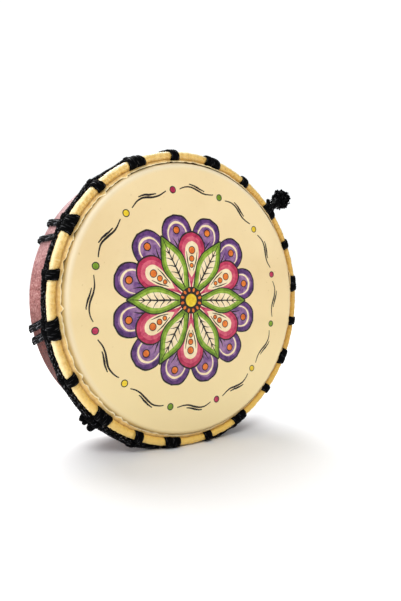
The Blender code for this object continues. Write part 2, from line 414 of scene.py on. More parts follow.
class Look(Nodes):
    """A Principled material whose colour, roughness and bump come from textures."""

    def __init__(self, name, specular):
        self.material = bpy.data.materials.new(name)
        self.material.use_nodes = True
        super().__init__(self.material.node_tree)
        self.shader = self.tree.nodes["Principled BSDF"]
        self.set("Specular IOR Level", specular)
        # texture coordinates in metres: the row frame's, and the surface's own
        self.place = self.node('ShaderNodeTexCoord').outputs["Object"]
        self.metres = self.node('ShaderNodeUVMap', uv_map="metres").outputs["UV"]

    def set(self, socket, value):
        self.feed(self.shader.inputs[socket], value)

    def noise(self, scale, detail=3.0, roughness=0.5, distortion=0.0):
        """Noise in the row frame or, with a scale of two numbers, along the surface's u and v."""
        vector = self.place
        if isinstance(scale, tuple):
            vector = self.node('ShaderNodeMapping', Vector=self.metres, Scale=(*scale, 1)).outputs["Vector"]
            scale = 1.0
        return self.node('ShaderNodeTexNoise', Vector=vector, Scale=scale, Detail=detail,
                         Roughness=roughness, Distortion=distortion).outputs["Fac"]

    def fade(self, mask, low, high):
        """One value where a mask is 0, the other where it is 1."""
        return self.scaled(mask, low, high, 0.0, 1.0)

    def split(self, vector, axis):
        return self.node('ShaderNodeSeparateXYZ', Vector=vector).outputs[axis]

    def past(self, axis, start, end):
        """0 up to one distance from AXIS_POINT along an axis of the row frame, 1 past the other."""
        middle = AXIS_POINT["XYZ".index(axis)]
        return self.scaled(self.split(self.place, axis), 0.0, 1.0, middle + start, middle + end)

    def past_v(self, start, end):
        """0 up to one place along the surface's own v, 1 past the other."""
        return self.scaled(self.split(self.metres, "Y"), 0.0, 1.0, start, end)

    def math(self, operation, a, b=0.0):
        made = self.node('ShaderNodeMath', operation=operation)
        self.feed(made.inputs[0], a)
        self.feed(made.inputs[1], b)
        return made.outputs[0]

    def times(self, a, b):
        return self.math('MULTIPLY', a, b)

    def mix(self, factor, a, b):
        made = self.node('ShaderNodeMix', data_type='RGBA')
        for index, value in ((0, factor), (6, a), (7, b)):
            self.feed(made.inputs[index], value)
        return made.outputs[2]

    def ramp(self, factor, *stops):
        """Colours by a factor; each stop is its position and a screen colour."""
        made = self.node('ShaderNodeValToRGB', Fac=factor)
        elements = made.color_ramp.elements
        while len(elements) < len(stops):
            elements.new(0.5)
        for element, (position, color) in zip(elements, stops):
            element.position = position
            element.color = (*linear(color), 1.0)
        return made.outputs["Color"]

    def lay(self, color, mask, strength=None):
        """Lays a screen colour or an output over the colour so far, where the mask is high."""
        if strength is not None:
            mask = self.times(mask, strength)
        self.color = self.mix(mask, self.color, linear(color) if isinstance(color, tuple) else color)

    def finished(self, roughness, *relief):
        """The material with its colour, roughness and bumps: (height, strength, metres), coarse first."""
        self.set("Base Color", self.color)
        self.set("Roughness", roughness)
        below = {}
        for height, strength, distance in relief:
            bump = self.node('ShaderNodeBump', Height=height, Strength=strength, Distance=distance, **below)
            below = {"Normal": bump.outputs["Normal"]}
            self.set("Normal", bump.outputs["Normal"])
        return self.material


def linear(color):
    """A colour given as 0 to 255 screen values, made linear."""
    return tuple(((c / 255 + 0.055) / 1.055) ** 2.4 if c > 10 else c / 255 / 12.92 for c in color)


def hide_relief(look):
    """The head's skin: soft waves and fine pores."""
    return (look.noise(45, 2.0), 0.25, 0.0006), (look.noise(1400, 3.0, 0.6), 0.12, 0.00012)


def head_look():
    """Scraped hide: pale where the face is flat, browner where it turns down the side, with painted light
    and shade.
    """
    look = Look("head_hide", 0.45)
    look.color = look.ramp(look.noise(14, 3.0, 0.55), (0.30, (231, 203, 150)), (0.55, (237, 211, 160)),
                           (0.75, (241, 219, 172)))
    look.lay((222, 190, 132), look.scaled(look.noise(260, 4.0, 0.6), 0.0, 0.16, 0.52, 0.75))
    look.lay((190, 156, 104), look.scaled(look.noise(420, 1.0, 0.4), 0.0, 0.35, 0.735, 0.78))
    # the underside is rough and blotchy
    blotches = look.ramp(look.noise(32, 6.0, 0.65), (0.34, (196, 160, 104)), (0.50, (224, 192, 136)),
                         (0.66, (238, 212, 162)))
    look.lay(blotches, look.past("Y", 0.0005, 0.0008))
    # painted light: paler towards the bottom and, less so, towards the top, evening out the face's lighting
    look.lay((255, 233, 176), look.past("Z", 0.030, -0.075), 0.9)
    look.lay((255, 233, 184), look.past("Z", 0.020, 0.080), 0.3)
    # painted highlight: whitish where it turns over the edge, most of all at the upper left
    x = look.split(look.place, "X")
    z = look.math('SUBTRACT', look.split(look.place, "Z"), AXIS_POINT.z)
    radius = look.math('SQRT', look.math('ADD', look.times(x, x), look.times(z, z)))
    edge = look.scaled(radius, 0.0, 1.0, HEAD_RADIUS - 0.0052, HEAD_RADIUS - 0.0030)
    look.lay((239, 224, 192), edge, look.scaled(look.math('SUBTRACT', z, x), 0.0, 0.7, -0.04, 0.06))
    # yellower and darker down the side, partly the hide's own tone and partly painted shade, soonest on the
    # lower half
    low = look.past("Z", 0.045, -0.015)
    depth = look.math('ADD', look.split(look.place, "Y"), look.times(low, 0.0013))
    look.lay((190, 160, 100), look.scaled(depth, 0.0, 1.0, AXIS_POINT.y + 0.0011, AXIS_POINT.y + 0.0029))
    # painted shade in the gap behind the trimmed edge, most of all where it stands off at the upper right
    upper_right = look.scaled(look.math('ADD', x, z), 0.35, 1.0, -0.06, 0.08)
    look.lay((112, 82, 38), look.past("Y", 0.0036, 0.0056), upper_right)
    waves, pores = hide_relief(look)
    return look.finished(look.scaled(waves[0], 0.34, 0.48), waves, pores)


def paint_look(name, dark, light, roughness=0.45):
    """Ink brushed on the hide: it pools darker in places and lets some skin through."""
    look = Look(name, 0.4)
    look.color = look.ramp(look.noise(230, 3.0, 0.6, 0.4), (0.36, dark), (0.62, light))
    grain = look.scaled(look.noise(900, 2.0), roughness - 0.07, roughness + 0.07)
    return look.finished(grain, *hide_relief(look))


def hoop_look():
    """Rawhide sewn over the hoop: glossy, streaked across, and more wrinkled on the right, with painted
    light and shade.
    """
    look = Look("hoop_hide", 0.5)
    streaks = look.noise((420, 110), 3.0, 0.6, 0.5)
    fibres = look.noise((1500, 420), 3.0, 0.6, 0.6)
    wrinkles = look.noise((640, 300), 4.0, 0.65, 1.4)
    look.color = look.ramp(streaks, (0.30, (230, 182, 88)), (0.50, (240, 198, 108)),
                           (0.72, (246, 212, 134)))
    look.lay((222, 172, 88), look.scaled(fibres, 0.0, 0.35, 0.52, 0.72))
    right_side = look.past("X", -0.045, 0.055)
    high = look.past("Z", 0.010, 0.080)
    low = look.past("Z", -0.035, -0.095)
    # painted shade: darker on the right, less so towards the top
    look.lay((208, 162, 74), right_side, look.fade(high, 0.60, 0.30))
    # darker brown in the wrinkles, partly the hide's own tone and partly painted shade, most of all on the
    # right
    look.lay((168, 118, 48), look.scaled(wrinkles, 0.10, 0.85, 0.53, 0.66), look.fade(right_side, 0.25, 1.0))
    # painted highlight on its outer side, at the left and the top
    outer = look.times(look.past_v(1.45 * HOOP_TUBE, 0.75 * HOOP_TUBE), look.fade(low, 1.0, 0.2))
    most = look.math('MAXIMUM', look.scaled(right_side, 0.75, 0.0, 0.0, 0.6), look.times(high, 0.75))
    look.lay((252, 236, 184), outer, most)
    # painted shade in the fold beside the head, and painted light, golden, at the bottom
    look.lay((176, 126, 46), look.past_v(2.05 * HOOP_TUBE, 2.55 * HOOP_TUBE), look.fade(low, 0.50, 0.15))
    look.lay((255, 212, 104), low, 0.7)
    look.set("Coat Weight", look.fade(right_side, 0.70, 0.0))
    look.set("Coat Roughness", 0.24)
    look.set("Specular IOR Level", look.fade(right_side, 0.5, 0.2))
    return look.finished(look.scaled(streaks, 0.26, 0.44), (wrinkles, 0.45, 0.0005), (fibres, 0.25, 0.0002))


def lip_look(name, dark, light):
    """Cut hide: duller at the right and brown in the crease beside the hoop, both painted shade."""
    look = Look(name, 0.4)
    cloud = look.noise(300, 3.0, 0.6)
    look.color = look.ramp(cloud, (0.32, dark), (0.66, light))
    # painted shade: duller at the right
    look.lay((196, 154, 84), look.past("X", 0.0, 0.075), 0.55)
    # painted shade in the crease beside the hoop
    look.lay((172, 122, 54), look.past_v(0.0064, 0.0082), 0.65)
    return look.finished(look.scaled(cloud, 0.42, 0.6), (look.noise(900, 3.0, 0.6), 0.4, 0.0003))


def wood_look():
    """Stained wood: short grain and open pores under the stain, with painted light and shade."""
    look = Look("stained_wood", 0.3)
    dark, middle, light = (108, 54, 50), (158, 94, 90), (188, 132, 128)
    grain = look.noise((260, 90), 6.0, 0.65, 0.8)
    pores = look.noise((1500, 700), 3.0, 0.6)
    patches = look.noise(34, 4.0, 0.6)
    speck = look.noise(620, 4.0, 0.7)
    look.color = look.ramp(grain, (0.30, dark), (0.50, middle), (0.68, light))
    look.lay(light, look.scaled(patches, 0.0, 0.55, 0.40, 0.66))
    look.lay(dark, look.scaled(pores, 0.0, 0.60, 0.54, 0.68))
    # painted light, a pale sheen, towards the top, and painted shade, deep red, towards the bottom
    high = look.past("Z", 0.004, 0.045)
    look.lay((196, 160, 166), high, 0.35)
    look.lay((108, 58, 58), look.scaled(speck, 0.62, 0.0, 0.34, 0.49))
    look.lay((226, 188, 182), look.scaled(speck, 0.0, 0.70, 0.53, 0.66))
    look.lay(look.ramp(speck, (0.36, (50, 14, 12)), (0.66, (124, 60, 50))), look.past("Z", 0.002, -0.036))
    look.set("Specular IOR Level", look.fade(high, 0.08, 0.45))
    return look.finished(look.scaled(patches, 0.38, 0.58), (grain, 0.35, 0.0004), (speck, 0.45, 0.0004),
                         (pores, 0.30, 0.00015))


def cord_look(name, shine, start, streak_scale):
    """Black cord: most of it swallows the light, and single strands carry a painted highlight and shine
    more.
    """
    look = Look(name, 0.05)
    fibres = look.noise((260, 3600), 3.0, 0.65, 0.4)
    streaks = look.noise(streak_scale, 2.0, 0.5, 0.3)
    # painted highlights: paler streaks on single strands, which also get more specular
    lit = look.times(look.scaled(streaks, 0.0, 1.0, start, start + 0.10),
                     look.scaled(fibres, 0.35, 1.0, 0.40, 0.62))
    black = look.mix(look.scaled(fibres, 0.0, 1.0, 0.50, 0.80), (0.0012, 0.0012, 0.0015),
                     (0.0050, 0.0050, 0.0065))
    look.color = look.mix(lit, black, (shine, shine, 1.15 * shine))
    look.set("Specular IOR Level", look.fade(lit, 0.03, 0.70))
    return look.finished(look.fade(lit, 0.65, 0.36), (streaks, 0.5, 0.0005), (fibres, 0.6, 0.0003))


# ---- The painted ornament: a round rosette of leaves, buds and scallops in a wavy border ----
# Dark and light screen colours of each ink, and a roughness where it isn't the usual one
INK_COLORS = {
    "ink": ((16, 10, 8), (38, 25, 18), 0.5),
    "green": ((84, 118, 12), (124, 158, 34)),
    "green_pale": ((120, 154, 32), (158, 186, 66)),
    "pink": ((160, 24, 66), (200, 54, 90)),
    "pink_pale": ((192, 58, 92), (216, 100, 118)),
    "purple": ((58, 24, 84), (104, 58, 124)),
    "lilac": ((104, 62, 124), (160, 118, 158)),
    "orange": ((206, 90, 20), (236, 130, 40)),
    "yellow": ((216, 178, 20), (244, 212, 50)),
    "cream": ((236, 212, 166), (248, 230, 192)),
}
INKS = ("hide", *INK_COLORS)
FLOWER_CENTER = (-0.0060, -0.0006)
BORDER_CENTER = (-0.0022, 0.0006)
BORDER_RADIUS = 0.0810
FLOWER_TURN = 1.5                 # the painting sits a little askew on the standing drum
WAVES = 12                        # strokes round the border, with a dot in each gap
WAVE_REACH = 10.8                 # degrees from a stroke's middle to its end
LINE = 0.85                       # the rim round a petal, in millimetres

# Half widths along a shape, in millimetres: (distance from the flower's centre, half width)
LEAF_OUTLINE = ((7, 1.2), (14, 4.4), (21, 7.4), (28, 9.2), (35, 8.8), (41, 6.2), (46, 3.3), (50, 1.1),
                (52, 0))
LEAF_BLEND = ((12, 1.6), (20, 5.4), (28, 7.4), (35, 7.0), (41, 4.4), (46, 1.4), (47.5, 0))
LEAF_PANEL = ((13, 0), (20, 3.6), (27, 5.4), (34, 5.0), (40, 2.6), (44.5, 0))
BUD_OUTLINE = ((7, 1.2), (14, 4.2), (21, 6.8), (28, 9.2), (35, 11.0), (41, 11.0), (46, 8.4), (49, 4.4),
               (50.4, 0))
BUD_BLEND = ((14, 1.8), (21, 5.0), (28, 7.0), (35, 8.6), (41, 8.4), (45.5, 5.4), (47.6, 0))
BUD_PANEL = ((17, 0), (22, 3.0), (28, 4.8), (34, 6.0), (39.5, 5.6), (42.6, 3.4), (44, 0))
SCALLOP_OUTLINE = ((28, 7.0), (36, 9.2), (44, 11.2), (51, 11.9), (57, 10.2), (61, 6.6), (63, 0))
SCALLOP_WASH = ((36, 5.5), (44, 8.4), (51, 9.0), (56, 7.2), (59.5, 3.6), (60.8, 0))
SCALLOP_ARC = ((45, 7.4), (51, 7.8), (56, 5.4), (58.2, 0), (56, -5.4), (51, -7.8), (45, -7.4))


class Painting:
    """Flat shapes in painter's order; each covers what was laid before it."""

    def __init__(self):
        self.shapes = []

    def fill(self, points, ink):
        self.shapes.append((points, INKS.index(ink)))

    def stroke(self, points, half_width, form, ink):
        """A brush stroke, laid as short pieces so that it can curl tightly.

        The form is how wide it starts and ends beside its widest place, and how far along that is.
        """
        points = np.array(points)
        start, end, widest = form
        widths = half_width * np.interp(np.linspace(0, 1, len(points)), (0, widest, 1), (start, 1, end))
        tangent = unit(np.gradient(points, axis=0))
        side = np.stack([-tangent[:, 1], tangent[:, 0]], 1) * widths[:, None]
        left, right = points + side, points - side
        for i in range(len(points) - 1):
            self.fill([right[i], right[i + 1], left[i + 1], left[i]], ink)

    def dot(self, center, radius, ink, sides=16, stretch=1.0, turn=0.0):
        points = []
        for angle in turns(sides):
            x, y = radius * cos(angle) * stretch, radius * sin(angle)
            points.append((center[0] + x * cos(turn) - y * sin(turn),
                           center[1] + x * sin(turn) + y * cos(turn)))
        self.fill(points, ink)

    def rimmed_dot(self, center, radius, rim, ink):
        self.dot(center, radius + rim, "ink")
        self.dot(center, radius, ink)


class Petal:
    """The painter's hand for one petal: millimetres out along it and across it."""

    def __init__(self, painting, degrees, seed):
        self.painting = painting
        self.turn = radians(degrees + FLOWER_TURN)
        self.seed = seed

    def at(self, along, across):
        across += 0.30 * ripple(self.seed, along * 0.09, across * 0.11)
        along += 0.20 * ripple(self.seed + 5.5, along * 0.11, across * 0.13)
        x, y = along / 1000, across / 1000
        c, d = cos(self.turn), sin(self.turn)
        return FLOWER_CENTER[0] + x * c - y * d, FLOWER_CENTER[1] + x * d + y * c

    def shape(self, stations, ink, grow=0.0):
        """Fills a shape given by its half widths; grow leaves a margin all round it."""
        start, end = stations[0][0], stations[-1][0]
        left, right = [], []
        for along, half in resample(stations, 0.7):
            reach = min(1.0, 0.35 + (along - start) / 1.5, 0.25 + (end - along) / 1.5)
            half = max(0.0, half) + grow * max(0.15, reach)
            spread = along + 1.3 * grow * (2 * (along - start) / (end - start) - 1)
            left.append(self.at(spread, half))
            right.append(self.at(spread, -half))
        self.painting.fill(right + left[::-1], ink)

    def layers(self, *layers):
        """Shapes laid one on another, the first with a rim of ink."""
        self.shape(layers[0][0], "ink", LINE)
        for stations, ink in layers:
            self.shape(stations, ink)

    def line(self, stations, width, form, ink="ink"):
        path = [self.at(along, across) for along, across in resample(stations, 0.8)]
        self.painting.stroke(path, width / 1000, form, ink)


def scallop(painting, degrees, seed):
    """A round purple petal with a cream arc inside its edge and one orange dot."""
    petal = Petal(painting, degrees, seed)
    petal.layers((SCALLOP_OUTLINE, "purple"), (SCALLOP_WASH, "lilac"))
    petal.line(SCALLOP_ARC, 0.95, (0.3, 0.3, 0.5), "cream")
    for side, tip in ((-1, 48.0), (0, 46.5), (1, 48.0)):
        petal.line([(40, 1.6 * side), (44, 2.7 * side), (tip, 4.6 * side)], 0.60, (0.8, 0.2, 0.3))
    painting.rimmed_dot(petal.at(52.6, 0.0), 0.0023, 0.0008, "orange")


def leaf(painting, degrees, seed):
    """A pointed green leaf with cream between its veins."""
    petal = Petal(painting, degrees, seed)
    petal.layers((LEAF_OUTLINE, "green"), (LEAF_BLEND, "green_pale"), (LEAF_PANEL, "cream"))
    for side in (-1, 1):
        for along, reach in ((17, 3.6), (22.5, 5.4), (28, 6.0), (33.5, 4.9), (38.5, 3.0)):
            vein = [(along, 0), (along + 2.6, reach * side / 2), (along + 4.2, reach * side)]
            petal.line(vein, 0.45, (1.0, 0.2, 0.2))
    petal.line([(50, 0), (38, 0), (24, 0), (11, 0)], 0.70, (0.3, 0.6, 0.7))


def bud(painting, degrees, seed):
    """A round magenta petal with three orange dots down its cream middle."""
    petal = Petal(painting, degrees, seed)
    petal.layers((BUD_OUTLINE, "pink"), (BUD_BLEND, "pink_pale"), (BUD_PANEL, "cream"))
    for along, size in ((26.0, 0.0013), (31.0, 0.0018), (37.2, 0.0024)):
        painting.rimmed_dot(petal.at(along, 0.0), size, 0.0006, "orange")
    for side in (-1, 1):
        petal.line([(22, 1.3 * side), (29, 3.6 * side), (36, 4.7 * side)], 0.50, (0.5, 0.3, 0.6))
        petal.line([(8, 0.9 * side), (12, 1.5 * side), (17, 2.6 * side)], 0.50, (0.6, 0.3, 0.5), "cream")


def on_border(degrees, out):
    turn = radians(degrees + FLOWER_TURN)
    radius = BORDER_RADIUS + out / 1000
    return BORDER_CENTER[0] + radius * cos(turn), BORDER_CENTER[1] + radius * sin(turn)


def border_wave(painting, middle, seed):
    """One long wavy stroke with a short one laid along its middle."""
    half_width = 0.00078 + 0.00018 * ripple(seed, 2.7)
    for reach, lift in ((WAVE_REACH, 0.0), (0.45 * WAVE_REACH, 1.9)):
        path = []
        for t in np.linspace(-1, 1, 48):
            wave = 1.7 * sin(pi * t * reach / WAVE_REACH) + lift + 0.25 * ripple(seed, t * 2.0)
            path.append(on_border(middle + t * reach, wave))
        painting.stroke(path, half_width, (0.5, 0.5, 0.5), "ink")


def paint_ornament():
    painting = Painting()
    for k in range(12):
        scallop(painting, 15 + 30 * k, 10.0 + k)
    # dark ground behind the forks of the leaves and buds
    painting.dot(FLOWER_CENTER, 0.0330, "ink", sides=40)
    for k in range(6):
        bud(painting, 30 + 60 * k, 50.0 + k)
    for k in range(6):
        leaf(painting, 60 * k, 60.0 + k)
    painting.dot(FLOWER_CENTER, 0.0100, "ink", sides=40)
    for k in range(12):
        petal = Petal(painting, 15 + 30 * k, 40.0)
        painting.dot(petal.at(7.8, 0.0), 0.0010, "orange", stretch=1.5, turn=petal.turn)
    painting.dot(FLOWER_CENTER, 0.0048, "yellow", sides=28)
    for k in range(WAVES):
        border_wave(painting, 360 * k / WAVES, 70.0 + k)
        ink = ("pink", "yellow", "green")[k % 3]
        painting.rimmed_dot(on_border(360 * (k + 0.5) / WAVES, 0.0), 0.0020, 0.0007, ink)
    return painting


def face_mesh(surface, painting, radius, steps):
    """Cuts the flat face into triangles along every painted edge."""
    rim = [(radius * cos(turn), radius * sin(turn)) for turn in turns(steps)]
    shapes = [(rim, 0)] + painting.shapes
    points, faces = [], []
    for outline, _ in shapes:
        x, y = np.array(outline).T
        if (x * np.roll(y, -1) - np.roll(x, -1) * y).sum() < 0:
            outline = outline[::-1]
        first = len(points)
        points.extend(Vector((p[0], p[1])) for p in outline)
        faces.append(list(range(first, first + len(outline))))
    verts, _, triangles, _, _, sources = delaunay_2d_cdt(points, [], faces, 1, 1e-6, True)
    first = surface.add_points([(v.x, v.y, 0.0) for v in verts])
    for corners, source in zip(triangles, sources):
        ink = shapes[max(source)][1] if source else 0
        a, b, c = (verts[i] for i in corners[:3])
        if (b - a).cross(c - a) < 0:
            corners = corners[::-1]
        surface.add_face([first + i for i in corners], [tuple(verts[i]) for i in corners], ink)


# ---- The pieces ----
def make_shell():
    """The wooden ring: straight at the head, wider behind, with its edges rounded."""
    surface = Surface()
    top = HIDE_THICKNESS + 0.0003
    front_round = HEAD_EDGE_RADIUS - top
    inner_front = SHELL_FRONT_RADIUS - SHELL_WALL
    inner_back = SHELL_BACK_RADIUS - SHELL_BACK_WALL
    bend = SHELL_DEPTH - SHELL_BACK_ROUND
    profile = arc(SHELL_FRONT_RADIUS - front_round, top + front_round, front_round, -90, 0, 5)
    profile += [(shell_radius(depth), depth) for depth in np.linspace(SHELL_STRAIGHT_DEPTH, bend, 22)]
    profile += arc(shell_radius(bend) - SHELL_BACK_ROUND, bend, SHELL_BACK_ROUND, 15, 90, 6)
    profile += arc(inner_back + SHELL_INNER_ROUND, SHELL_DEPTH - SHELL_INNER_ROUND, SHELL_INNER_ROUND,
                   90, 180, 4)
    profile += [(lerp(inner_back, inner_front, t), lerp(SHELL_DEPTH, top + SHELL_CHAMFER, t))
                for t in np.linspace(0.06, 1.0, 16)]
    profile += [(inner_front + SHELL_CHAMFER, top), profile[0]]

    def worked(degrees, j):
        depth = profile[j][1]
        wave = 0.00018 * rim_ripple(degrees, 2.2, depth * 60) if depth > 0.012 else 0.0
        return wave + 0.00004 * rim_ripple(degrees, 30, depth * 500, 2)

    turned(surface, profile, SHELL_STEPS, worked)
    weld(surface.make("stained_shell", ["wood"], ["shell"]))


def make_head():
    """The hide: painted face, rounded edge, side wall, and its plain inside."""
    surface = Surface()
    flat = HEAD_RADIUS - HEAD_EDGE_RADIUS
    face_mesh(surface, paint_ornament(), flat, HEAD_STEPS)
    # down the side and out under the hoop, then back to the wall's lower edge
    tucked = HOOP_RADIUS - HEAD_TUCK
    profile = arc(flat, HEAD_EDGE_RADIUS, HEAD_EDGE_RADIUS, -90, 0, 9)
    profile += [(HEAD_RADIUS + 0.0001, 0.0050), (HEAD_RADIUS + 0.0006, 0.0062), (tucked, HOOP_DEPTH),
                (tucked, HOOP_DEPTH + HIDE_THICKNESS), (HEAD_RADIUS + 0.0002, HOOP_DEPTH + 0.0016),
                (HEAD_RADIUS, HEAD_WALL_DEPTH - 0.0003), (HEAD_RADIUS - 0.0003, HEAD_WALL_DEPTH),
                (HEAD_RADIUS - HIDE_THICKNESS, HEAD_WALL_DEPTH)]
    profile += arc(flat, HEAD_EDGE_RADIUS, HEAD_EDGE_RADIUS - HIDE_THICKNESS, 0, -90, 5)
    profile += [(0.05, HIDE_THICKNESS), (0.0002, HIDE_THICKNESS)]

    def stretched(degrees, j):
        """Ripples in the side only: the face's rim and the inside stay true."""
        return 0.00014 * rim_ripple(degrees, 12, j * 0.2) if 2 < j < 12 else 0.0

    turned(surface, profile, HEAD_STEPS, stretched)
    weld(surface.make("painted_head", INKS, ["drumhead"]))


def hoop_radius_at(degrees, turn):
    """The covered hoop's own radius: pressed in under wraps, creased between them."""
    away = nearest_wrap(degrees)
    x, y, _ = polar(1.0, degrees, 0.0)
    lump = 0.00014 * ripple(x * 11, y * 11, turn)
    fine = 0.00020 * ripple(x * 60 + 0.5 * turn, y * 60, turn * 0.7, 4)
    pucker = 0.00022 * near(away - 3.6, 3.0) * ripple(x * 95, y * 95, turn * 0.5, 2)
    ridge = 1 - abs(ripple(x * 38 + 0.6 * sin(turn), y * 38 + 0.6 * cos(turn), turn * 0.6))
    crease = -0.00042 * max(0.0, ridge - 0.80) / 0.20
    fold = -0.00030 * np.exp(-((turn - 2.25 - 0.20 * ripple(x * 12, y * 12, 7.0)) / 0.12) ** 2)
    return HOOP_TUBE - HOOP_PINCH * near(away, 4.5) + lump + fine + pucker + crease + fold


def make_hoop():
    """The hoop in its cover of hide."""
    surface = Surface()
    sides = 32
    rows = np.zeros((HOOP_STEPS, sides, 3))
    for i, degrees in enumerate(rim_places(HOOP_STEPS)):
        for j, turn in enumerate(turns(sides)):
            rows[i, j], _ = on_tube(HOOP_RADIUS, HOOP_DEPTH, hoop_radius_at(degrees, turn), degrees, turn)
    # the section runs clockwise about the direction of travel, so the rows are reversed
    u = np.linspace(0, 2 * pi * HOOP_RADIUS, HOOP_STEPS + 1)
    v = np.linspace(0, 2 * pi * HOOP_TUBE, sides + 1)
    surface.grid(rows[::-1], u, v)
    surface.make("covered_hoop", ["hoop"], ["hide_hoop"])


def lip_edge(degrees):
    """Radius and depth of the hide's trimmed edge: cut by hand, so it wanders and is nicked."""
    wave = 0.0011 * rim_ripple(degrees, 5, 1.0, 1) + 0.0012 * rim_ripple(degrees, 14, 2.0, 1)
    kink = 0.0034 * (0.22 - abs(rim_ripple(degrees, 12, 4.0, 1)))
    kink += 0.0030 * (abs(rim_ripple(degrees, 18, 6.0, 1)) - 0.22)
    # it lies on the head's rounded edge at the lower left and stands off at the upper right
    apart = facing(degrees, 35) ** 2
    narrow = near(rim_distance(degrees, 95.0), 55.0)
    reach = lerp(0.0010, 0.0004, apart) - 0.0007 * narrow + wave + kink
    bend = HEAD_EDGE_RADIUS + LIP_STANDOFF
    if reach > 0:
        turn = min(reach / bend, 0.9)
        radius = HEAD_RADIUS - HEAD_EDGE_RADIUS + bend * cos(turn)
        depth = HEAD_EDGE_RADIUS - bend * sin(turn)
    else:
        radius = HEAD_RADIUS + LIP_STANDOFF - 0.5 * reach
        depth = HEAD_EDGE_RADIUS - 0.5 * reach
    return radius + 0.0014 * apart, depth


def make_lip():
    """The hide's trimmed edge: out of the hoop's cover, in and forwards like a low collar."""
    surface = Surface()
    across = 9
    count = 2 * across
    rows = np.zeros((HOOP_STEPS, count, 3))
    t = np.linspace(0, 1, across)
    half = np.linspace(*LIP_HALF_THICKNESS, across)[:, None]
    for i, degrees in enumerate(rim_places(HOOP_STEPS)):
        edge_radius, edge_depth = lip_edge(degrees)
        section = np.stack([lerp(HOOP_RADIUS - LIP_ROOT[0], edge_radius, t ** 0.70),
                            lerp(HOOP_DEPTH - LIP_ROOT[1], edge_depth, t ** 1.1)], 1)
        along = unit(np.gradient(section, axis=0))
        side = np.stack([along[:, 1], -along[:, 0]], 1) * half
        loop = np.concatenate([section + side, (section - side)[::-1]])
        for j, (radius, depth) in enumerate(loop):
            rows[i, j] = polar(radius, degrees, -depth)
    u = np.linspace(0, 2 * pi * HEAD_RADIUS, HOOP_STEPS + 1)
    v = np.linspace(0, LIP_GIRTH, count + 1)
    surface.grid(rows, u, v)
    # the raw cut shows paler than the hide's skin, and a painted highlight lies along it and the strip
    # beside it
    surface.slots = [int(k % count in (across - 1, across)) for k in range(HOOP_STEPS * count)]
    surface.make("trimmed_edge", ["lip", "lip_cut"], [])


def wrap_turn(surface, degrees, offset, tilt, seed):
    """One flattened turn of cord round the hoop; offset is its place along the hoop."""
    path, up, wide, high = [], [], [], []
    for turn in turns(84):
        thickness = lerp(WRAP_THICKNESS, WRAP_INNER_THICKNESS, near(turn - pi, 1.1))
        along = offset * (1 - 0.24 * cos(turn)) + tilt * cos(turn) + 0.00025 * ripple(seed, turn)
        tube = HOOP_TUBE - HOOP_PINCH + 0.00005 + thickness / 2
        angle = degrees + np.degrees(along / HOOP_RADIUS)
        point, direction = on_tube(HOOP_RADIUS, HOOP_DEPTH, tube, angle, turn)
        path.append(point)
        up.append(direction)
        wide.append(TURN_WIDTH / 2 * (0.98 - 0.08 * cos(turn) + 0.07 * ripple(seed + 4, turn)))
        high.append(thickness / 2)
    cord(surface, path, up, np.array(wide), np.array(high), sides=44, closed=True,
         pitch=0.060, count=12, relief=0.00065)


def ring_place(degrees):
    """The running cord's centre: pulled out and forward at wraps, slack in places."""
    pulled = near(nearest_wrap(degrees), 6.5)
    pull = lerp(0.0008, 0.0024, facing(degrees, 20))
    slack = sum(out * near(rim_distance(degrees, middle), reach) for middle, reach, out in RING_SLACK)
    radius = RING_RADIUS + slack + pull * pulled + 0.0003 * rim_ripple(degrees, 10, 5.0)
    depth = RING_DEPTH - 0.0016 * pulled - 0.7 * slack + 0.0003 * rim_ripple(degrees, 9, 9.0)
    return radius, depth


def hitch(surface, degrees):
    """The cord's turn round the ring behind the hoop, where a wrap is tied off."""
    ring_radius, ring_depth = ring_place(degrees)
    path, up = zip(*(on_tube(ring_radius, ring_depth, RING_TUBE, degrees + 0.7 * sin(turn), turn)
                     for turn in turns(40)))
    cord(surface, path, up, 0.0019, 0.0005, closed=True, count=7, relief=0.00018)


def make_wrap(number):
    """A single or double wrap, with the hitches that tie it to the running cord behind."""
    surface = Surface()
    degrees = wrap_angle(number)
    sway = ripple(number * 1.7, 3.0)
    tilt = 0.0007 + 0.0004 * sway
    if number % 2:
        wrap_turn(surface, degrees, 0.0, tilt, number)
        hitch(surface, degrees + 0.6 * sway - 0.5)
    else:
        # the tuft leaves wrap 4 between its turns
        spread = 0.0034 if number == 4 else 0.0031
        wrap_turn(surface, degrees, spread, tilt, number)
        wrap_turn(surface, degrees, -spread - 0.0001, tilt * 0.4, number + 0.5)
        hitch(surface, degrees + 0.7)
        hitch(surface, degrees - 2.4)
    surface.make(f"wrap_cord_{number:02d}", ["cord"], [f"wrap_{number:02d}"])


def make_cord_ring():
    """The braided cord that runs round behind the hoop."""
    surface = Surface()
    path, up = [], []
    for degrees in rim_places(RING_STEPS):
        radius, depth = ring_place(degrees)
        path.append(polar(radius, degrees, -depth))
        up.append(polar(1.0, degrees, 0.0))
    cord(surface, path, up, RING_TUBE, RING_TUBE, sides=20, closed=True, weave=braid,
         pitch=0.0021, count=5, relief=0.0006)
    surface.make("running_cord", ["braid"], ["cord_ring"])


